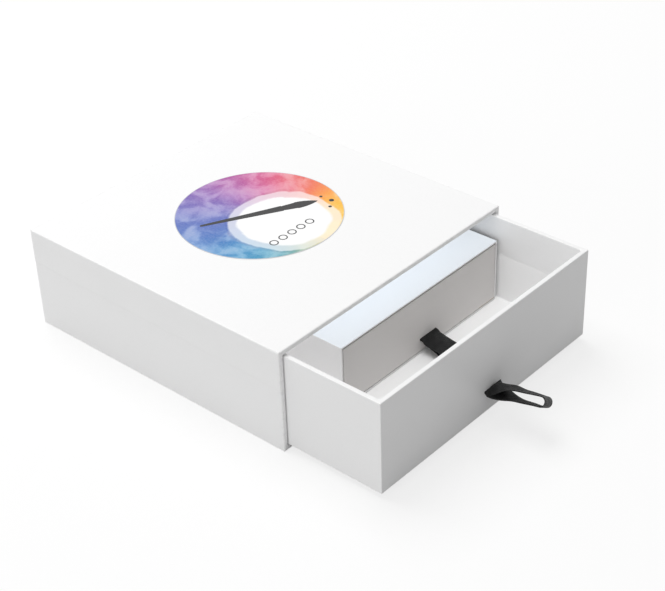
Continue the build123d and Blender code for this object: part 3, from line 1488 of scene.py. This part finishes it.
@dataclass(frozen=True)
class PrintedBrush:
    """A paintbrush in print: distances from its tip, and half widths there."""

    tip: Pair = (27.0 * MM, -14.0 * MM)
    turn: float = 152.0
    hair_length: float = 11.0 * MM
    hair_half: float = 3.1 * MM
    hair_belly: float = 0.8
    hair_steps: int = 9
    ferrule: tuple[Pair, ...] = ((11.4 * MM, 2.8 * MM), (18.0 * MM, 2.2 * MM), (18.1 * MM, 1.9 * MM))
    handle_front: Pair = (18.6 * MM, 2.5 * MM)
    handle_back: Pair = (60.0 * MM, 0.8 * MM)
    handle_steps: int = 6
    end: Pair = (60.6 * MM, 0.4 * MM)

    def side(self) -> list[Pair]:
        """One side of the outline, from the tip to the end.

        Returns:
            Pairs of a distance from the tip and half a width.
        """
        hair = []
        for t in spread(0.0, 1.0, self.hair_steps):
            belly = math.sin(math.pi / 2 * t) ** self.hair_belly
            hair.append((self.hair_length * t, self.hair_half * belly))
        front, back = self.handle_front, self.handle_back
        shares = spread(0.0, 1.0, self.handle_steps)
        handle = [(mix(front[0], back[0], t), mix(front[1], back[1], t)) for t in shares]
        return [*hair, *self.ferrule, *handle, self.end]

    def turned(self, along: float, across: float) -> Pair:
        """A place on the brush as one on the sticker."""
        c, s = math.cos(math.radians(self.turn)), math.sin(math.radians(self.turn))
        return self.tip[0] + along * c - across * s, self.tip[1] + along * s + across * c

    def outline(self) -> list[Pair]:
        """The brush all round."""
        side = self.side()
        return [self.turned(a, b) for a, b in side] + [self.turned(a, -b) for a, b in reversed(side[1:])]


@dataclass(frozen=True)
class Drop:
    """A printed drop: where its middle is on the sticker, and its radius."""

    middle: Pair
    radius: float


@dataclass
class LabelMotifs:
    """The print on the sticker: a paintbrush with drops off its tip, over a row of round paint pans."""

    label: RoundLabel
    proud: float = 0.03 * MM
    sunk: float = 0.01 * MM
    brush: PrintedBrush = PrintedBrush()
    drops: tuple[Drop, ...] = (
        Drop((31.5 * MM, -19.0 * MM), 1.3 * MM),
        Drop((26.5 * MM, -22.5 * MM), 0.9 * MM),
        Drop((31.0 * MM, -12.5 * MM), 0.8 * MM),
    )
    drop_steps: int = 24
    pans: int = 5
    pan_radius: float = 2.3 * MM
    pan_line: float = 0.6 * MM
    pan_row: float = -24.0 * MM
    pan_start: float = -15.4 * MM
    pan_step: float = 6.3 * MM
    pan_steps: int = 32

    def rings(self, shell: Shell, outline: Sequence[Pair]) -> list[list[int]]:
        """Adds an outline under the sticker's face and over it.

        Args:
            shell: The skin that it goes into.
            outline: Its points from the sticker's middle.

        Returns:
            The two rings' indices.
        """
        middle = self.label.centre()
        heights = (middle.z - self.sunk, middle.z + self.proud)
        return [shell.ring(Vector((middle.x + a, middle.y + b, z)) for a, b in outline) for z in heights]

    def plate(self, shell: Shell, outline: Sequence[Pair]) -> None:
        """Adds a thin plate of ink.

        Args:
            shell: The skin that it goes into.
            outline: The plate's points from the sticker's middle.
        """
        rings = self.rings(shell, outline)
        shell.loft(rings)
        shell.cap(rings)

    def band(self, shell: Shell, middle: Pair) -> None:
        """Adds a thin ring of ink, a pan's outline.

        Args:
            shell: The skin that it goes into.
            middle: Where its middle is on the sticker.
        """
        outer, inner = [
            self.rings(shell, circle(middle, radius, self.pan_steps))
            for radius in (self.pan_radius, self.pan_radius - self.pan_line)
        ]
        shell.loft([inner[0], outer[0], outer[1], inner[1], inner[0]])

    def build(self, ink: Material) -> None:
        """Makes the three groups of motifs.

        Args:
            ink: Their material.
        """
        brush, drops, pans = Shell(), Shell(), Shell()
        self.plate(brush, self.brush.outline())
        for drop in self.drops:
            self.plate(drops, circle(drop.middle, drop.radius, self.drop_steps))
        for k in range(self.pans):
            self.band(pans, (self.pan_start + k * self.pan_step, self.pan_row))
        for name, shell in (("printed_brush", brush), ("printed_drops", drops), ("printed_pans", pans)):
            settle(shell.piece(name, [ink]), Body.SLEEVE, Slot.LABEL)


# The studio


@dataclass(frozen=True)
class Lamp:
    """A square soft lamp that points at the object. It may light some pieces only, past others."""

    AIM = Vector((0, 0, 0.03))

    name: str
    place: Vector
    size: float
    power: float
    lights: tuple[str, ...] = ()
    skips: tuple[str, ...] = ()
    passes: tuple[str, ...] = ()

    def build(self) -> None:
        """Makes the lamp. The pieces that it names are there already."""
        light = bpy.data.lights.new(self.name, "AREA")
        light.shape = "SQUARE"
        light.size = self.size
        light.energy = self.power
        lamp = bpy.data.objects.new(self.name, light)
        lamp.location = self.place
        lamp.rotation_mode = "QUATERNION"
        lamp.rotation_quaternion = (self.AIM - self.place).to_track_quat("-Z", "Y")
        bpy.context.scene.collection.objects.link(lamp)
        if self.lights:
            lamp.light_linking.receiver_collection = self.group("lights", self.lights, "INCLUDE")
        if self.skips:
            lamp.light_linking.receiver_collection = self.group("skips", self.skips, "EXCLUDE")
        if self.passes:
            lamp.light_linking.blocker_collection = self.group("passes", self.passes, "EXCLUDE")

    def group(self, use: str, names: Sequence[str], state: str) -> bpy.types.Collection:
        """A collection of pieces that the lamp treats in a way of their own.

        Args:
            use: What the lamp does with them.
            names: The pieces.
            state: Whether the lamp's links include or exclude them.

        Returns:
            The collection.
        """
        group = bpy.data.collections.new(f"{self.name} {use}")
        for name in names:
            group.objects.link(bpy.data.objects[name])
        for member in group.collection_objects:
            member.light_linking.link_state = state
        return group


LARGE_WALLS = (
    "sleeve_cover",
    "label_sticker",
    "drawer_cover",
    "drawer_lining",
    *(f"large_sleeve_{side}_board" for side in ("top", "bottom", "left", "right", "back")),
    "large_sleeve_lining",
    *(f"large_drawer_{side}_board" for side in ("base", "left", "right", "front", "back")),
    "large_drawer_corner_stays",
)

SMALL_SLEEVE = ("small_sleeve_cover",)
TRAY = ("drawer_lining",)

LAMPS = (
    Lamp("overhead_lamp", Vector((0.1, 0.8, 1.8)), size=1.4, power=28.0, skips=SMALL_SLEEVE + TRAY),
    Lamp("left_lamp", Vector((-1.9, -0.1, 0.4)), size=1.0, power=10.0),
    Lamp(
        "small_box_fill",
        Vector((-0.5, 0.1, 1.15)),
        size=0.9,
        power=9.3,
        lights=SMALL_SLEEVE,
        passes=LARGE_WALLS,
    ),
    Lamp(
        "tray_fill",
        Vector((-0.25, -0.4, 1.15)),
        size=0.9,
        power=9.2,
        lights=TRAY,
        passes=LARGE_WALLS,
    ),
)


@dataclass(frozen=True)
class Studio:
    """A pale floor, a dim even world and soft lamps: overhead, low at the left, and fills for the tray."""

    floor_half: float = 4.0
    floor_drop: float = 0.05 * MM
    floor_tones: Pair = (200, 206)
    floor_scale: float = 40.0
    floor_roughness: float = 0.9
    shown_tone: float = 250
    white_share: float = 0.75
    ambient: float = 0.4
    lamps: tuple[Lamp, ...] = LAMPS

    def build(self) -> None:
        """Makes the floor, the world and the lamps."""
        self.floor()
        self.world()
        for lamp in self.lamps:
            lamp.build()

    def floor(self) -> None:
        """Makes the floor, white to the camera apart from the object's shadow."""
        half, z = self.floor_half, -self.floor_drop
        corners = [(-half, -half, z), (half, -half, z), (half, half, z), (-half, half, z)]
        mesh = bpy.data.meshes.new("floor")
        mesh.from_pydata(corners, [], [(0, 1, 2, 3)])
        mesh.materials.append(self.floor_finish())
        floor = bpy.data.objects.new("floor", mesh)
        bpy.context.scene.collection.objects.link(floor)

    def floor_finish(self) -> Material:
        """Makes the floor's material.

        Returns:
            The material.
        """
        finish = Finish("pale_floor")
        plain = finish.blend(finish.noise(self.floor_scale, detail=2), *map(grey, self.floor_tones))
        seen = finish.seen()
        finish.give("Base Color", finish.blend(seen, plain, grey(self.shown_tone)))
        finish.give("Roughness", self.floor_roughness)
        finish.give("Specular IOR Level", 0.0)
        white = finish.add("Emission", {"Strength": 1.0}).outputs[0]
        share = finish.calc("MULTIPLY", seen, self.white_share)
        both = finish.add("MixShader", {0: share, 1: finish.shader.outputs[0], 2: white})
        finish.feed(finish.nodes["Material Output"].inputs["Surface"], both.outputs[0])
        return finish.material

    def world(self) -> None:
        """Makes a world that is white to the camera and lights the object evenly."""
        world = bpy.data.worlds.new("studio")
        bpy.context.scene.world = world
        graph = Graph(world)
        strengths = {"Value": graph.seen(), "To Min": self.ambient, "To Max": 1.0}
        strength = graph.add("MapRange", strengths).outputs["Result"]
        ground = graph.nodes["Background"]
        ground.inputs["Color"].default_value = (1, 1, 1, 1)
        graph.feed(ground.inputs["Strength"], strength)


@dataclass(frozen=True)
class PhotoCamera:
    """The photograph's viewpoint."""

    place: Vector = Vector((-0.4734, -0.4735, 0.4505))
    aim: Vector = Vector((-0.00106, -0.04302, 0.027))
    roll: float = -2.10
    lens: float = 86.69
    sensor: float = 36.0
    clip: Pair = (0.01, 50.0)

    def build(self) -> None:
        """Makes the camera and sets it as the scene's own."""
        data = bpy.data.cameras.new("photo_camera")
        data.lens, data.sensor_width = self.lens, self.sensor
        data.clip_start, data.clip_end = self.clip
        camera = bpy.data.objects.new("photo_camera", data)
        level = (self.aim - self.place).to_track_quat("-Z", "Y")
        camera.location = self.place
        camera.rotation_mode = "QUATERNION"
        camera.rotation_quaternion = level @ Quaternion((0, 0, 1), math.radians(self.roll))
        bpy.context.scene.collection.objects.link(camera)
        bpy.context.scene.camera = camera


# The boxes


@dataclass(frozen=True)
class Palette:
    """The materials of the whole box, made once."""

    wrap: Material
    # The small sleeve's top: its paper is tinted pale blue, a painted cool colour cast on the upward faces
    # only.
    blue_top: Material
    small_wrap: Material
    # The small drawer's paper: white paper darkened and warmed, as painted shade over its front.
    small_front: Material
    lining: Material
    board: Material
    tape: Material
    ribbon: Material
    label: Material
    ink: Material

    @classmethod
    def mixed(cls, label: RoundLabel) -> "Palette":
        """Makes every finish.

        Args:
            label: The sticker, whose wash follows its middle and radius.

        Returns:
            The palette.
        """
        return cls(
            label=LabelFinish("label_wash", label.centre(), label.radius()).material(),
            ink=InkFinish("black_print", (12, 12, 14), (34, 33, 36)).material(),
            wrap=PaperFinish("white_wrap_paper", (246, 246, 246)).material(),
            # Painted cool colour cast: the small sleeve's top is tinted pale blue, unlike its sides.
            blue_top=PaperFinish("wrap_paper_with_painted_cool_cast", (236, 241, 246)).material(),
            small_wrap=PaperFinish("small_box_wrap_paper", (240, 239, 239)).material(),
            # Painted shade: the small drawer's white paper is darkened so that its front reads as in shade.
            small_front=PaperFinish("small_drawer_paper_darkened_as_painted_shade", (216, 213, 211)).material(),
            lining=PaperFinish("lining_paper", (238, 238, 238), roughness=(0.6, 0.75)).material(),
            board=BoardFinish("raw_grey_board", (150, 145, 136), (96, 92, 86)).material(),
            tape=BoardFinish("brown_gummed_tape", (181, 148, 108), (150, 118, 82)).material(),
            ribbon=RibbonFinish("black_woven_ribbon", (9, 9, 10), (30, 30, 31), RIBBON_WIDTH).material(),
        )


def dress_nodes(palette: Palette) -> None:
    """Gives each CAD node its procedural finish.

    Args:
        palette: The finishes.
    """
    by_slot = {
        Slot.WRAP.value: palette.wrap,
        Slot.LINING.value: palette.lining,
        Slot.BOARD.value: palette.board,
        Slot.TAPE.value: palette.tape,
        Slot.LABEL.value: palette.label,
        Slot.RIBBON.value: palette.ribbon,
    }
    slots = {part["node"]: part["material_slot"] for part in frame["record"]["subparts"]}
    for name, node in frame["nodes"].items():
        node.data.materials.clear()
        node.data.materials.append(by_slot[slots[name]])


@dataclass
class DrawerBox:
    """What the large box and the small one have in common: a sleeve, and a drawer with a ribbon pull."""

    make: str
    rim_turn_in: float
    base_fold: float
    slit_gap: float = 0.3 * MM
    sleeve_boards: Block = field(init=False)
    drawer_boards: Block = field(init=False)
    sleeve_board: float = field(init=False)
    drawer_board: float = field(init=False)
    tails: Block = field(init=False)
    ribbon_height: float = field(init=False)

    def __post_init__(self) -> None:
        """Reads the sizes from the frame."""
        self.sleeve_boards = self.boards("sleeve", "top", "bottom")
        self.drawer_boards = self.boards("drawer", "base", "front", "back")
        self.sleeve_board = self.boards("sleeve", "top").size().z
        self.drawer_board = self.boards("drawer", "base").size().z
        self.tails = Block.of_nodes(f"{self.make}_drawer_ribbon_tails")
        self.ribbon_height = self.tails.low.z + RIBBON_THICKNESS

    def boards(self, half: str, *sides: str) -> Block:
        """The box round some boards of the sleeve or the drawer."""
        return Block.of_nodes(*(f"{self.make}_{half}_{side}_board" for side in sides))

    def drawer(self, names: tuple[str, str], body: Body, wrap: Material, lining: Material) -> None:
        """Makes the drawer's cover and its lining.

        Args:
            names: The two pieces' names.
            body: The body that both ride on.
            wrap: The cover's material.
            lining: The lining's.
        """
        boards, board, turn_in = self.drawer_boards, self.drawer_board, self.rim_turn_in
        slit = Slit.round_ribbon(self.tails, self.ribbon_height, self.slit_gap)
        cover = DrawerCover(names[0], boards, board, turn_in, slit, self.base_fold)
        settle(cover.build(wrap), body, Slot.WRAP, f"{self.make}_drawer_wrap")
        sheet = DrawerLining(names[1], boards, board, turn_in, self.tails)
        settle(sheet.build(lining), body, Slot.LINING, f"{self.make}_drawer_lining")

    def slit_mouth(self) -> Vector:
        """Where the ribbon comes out of the drawer's front, between its two layers."""
        return Vector((self.tails.middle().x, self.tails.low.y, self.ribbon_height))


@dataclass
class LargeBox(DrawerBox):
    """The large sleeve and its drawer."""

    make: str = "large"
    rim_turn_in: float = 20.0 * MM
    base_fold: float = 0.45 * MM
    pull_bend: float = 4.0 * MM

    def build(self, palette: Palette) -> None:
        """Makes the pieces.

        Args:
            palette: The finishes.
        """
        cover = SleeveCover("sleeve_cover", self.sleeve_boards, self.sleeve_board, GlueFlap())
        wraps = ("large_sleeve_wrap", "large_sleeve_underside_wrap")
        settle(cover.build([palette.wrap]), Body.SLEEVE, Slot.WRAP, *wraps)
        self.drawer(("drawer_cover", "drawer_lining"), Body.DRAWER, palette.wrap, palette.lining)
        self.pull(palette)

    def pull(self, palette: Palette) -> None:
        """Makes the ribbon loop.

        Args:
            palette: The finishes.
        """
        root = self.slit_mouth()
        loop = RibbonPull(
            "drawer_ribbon",
            root=root,
            tip=root + Vector((0.1, -27.7, 4.4)) * MM,
            tip_radius=2.6 * MM,
            opens=(0.0, 0.42),
            leg_across=Vector((0.86, 0.05, -0.51)),
            tip_across=Vector((0.787, 0.2, -0.583)),
        )
        piece = loop.build(palette.ribbon)
        end = root + Vector((0, -self.pull_bend, 0))
        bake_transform(piece, Body.DRAWER.value, Body.DRAWER_PULL.value, start=root, end=end)
        settle(piece, Body.DRAWER_PULL, Slot.RIBBON, "large_drawer_ribbon_loop")
        loop.flat_length()


@dataclass
class SmallBox(DrawerBox):
    """The small sleeve and its drawer, lying in the large drawer."""

    make: str = "small"
    rim_turn_in: float = 12.0 * MM
    base_fold: float = 0.7 * MM
    long_corner: float = 0.35 * MM
    end_fold: float = 0.28 * MM
    pivot_out: float = 0.8 * MM

    def build(self, palette: Palette) -> None:
        """Makes the pieces.

        Args:
            palette: The finishes.
        """
        cover = SleeveCover(
            "small_sleeve_cover",
            self.sleeve_boards,
            self.sleeve_board,
            long_corner=self.long_corner,
            end_fold=self.end_fold,
        )
        # The second paper goes on the top only and carries a painted cool colour cast.
        papers = [palette.small_wrap, palette.blue_top]
        settle(cover.build(papers), Body.SMALL_BOX, Slot.WRAP, "small_sleeve_wrap")
        names = ("small_drawer_cover", "small_drawer_lining_sheet")
        # The drawer's cover gets the darkened paper, which is painted shade.
        self.drawer(names, Body.SMALL_DRAWER, palette.small_front, palette.lining)
        self.pull(palette)

    def pull(self, palette: Palette) -> None:
        """Makes the ribbon loop and its root in the slit.

        Args:
            palette: The finishes.
        """
        mouth = self.slit_mouth()
        root = mouth + Vector((0, -self.pivot_out, 0))
        stub = RibbonStub("small_ribbon_root", root)
        settle(stub.build(palette.ribbon), Body.SMALL_DRAWER, Slot.RIBBON)
        loop = RibbonPull(
            "small_ribbon",
            root=root,
            tip=mouth + Vector((0.0, -16.9, -5.4)) * MM,
            tip_radius=1.8 * MM,
            opens=(0.3, 1.0),
            cup=0.7 * MM,
            crown=0.35,
            cup_rise=2.5 * MM,
            cup_end=16.0 * MM,
            leave=5.0 * MM,
            arrive=5.0 * MM,
        )
        piece = loop.build(palette.ribbon)
        settle(piece, Body.SMALL_PULL, Slot.RIBBON, "small_drawer_ribbon_loop")
        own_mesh(piece)
        loop.flat_length()


def main() -> None:
    """Builds the box's looks and the studio round it."""
    logging.basicConfig(level=logging.INFO, format="%(name)s: %(message)s")
    bpy.context.scene.view_settings.view_transform = "Standard"
    PhotoCamera().build()
    label = RoundLabel("label_sticker", Block.of_nodes("round_label"))
    palette = Palette.mixed(label)
    dress_nodes(palette)
    LargeBox().build(palette)
    SmallBox().build(palette)
    settle(label.build(palette.label), Body.SLEEVE, Slot.LABEL, "round_label")
    LabelMotifs(label).build(palette.ink)
    Studio().build()


if __name__ == "__main__":
    main()
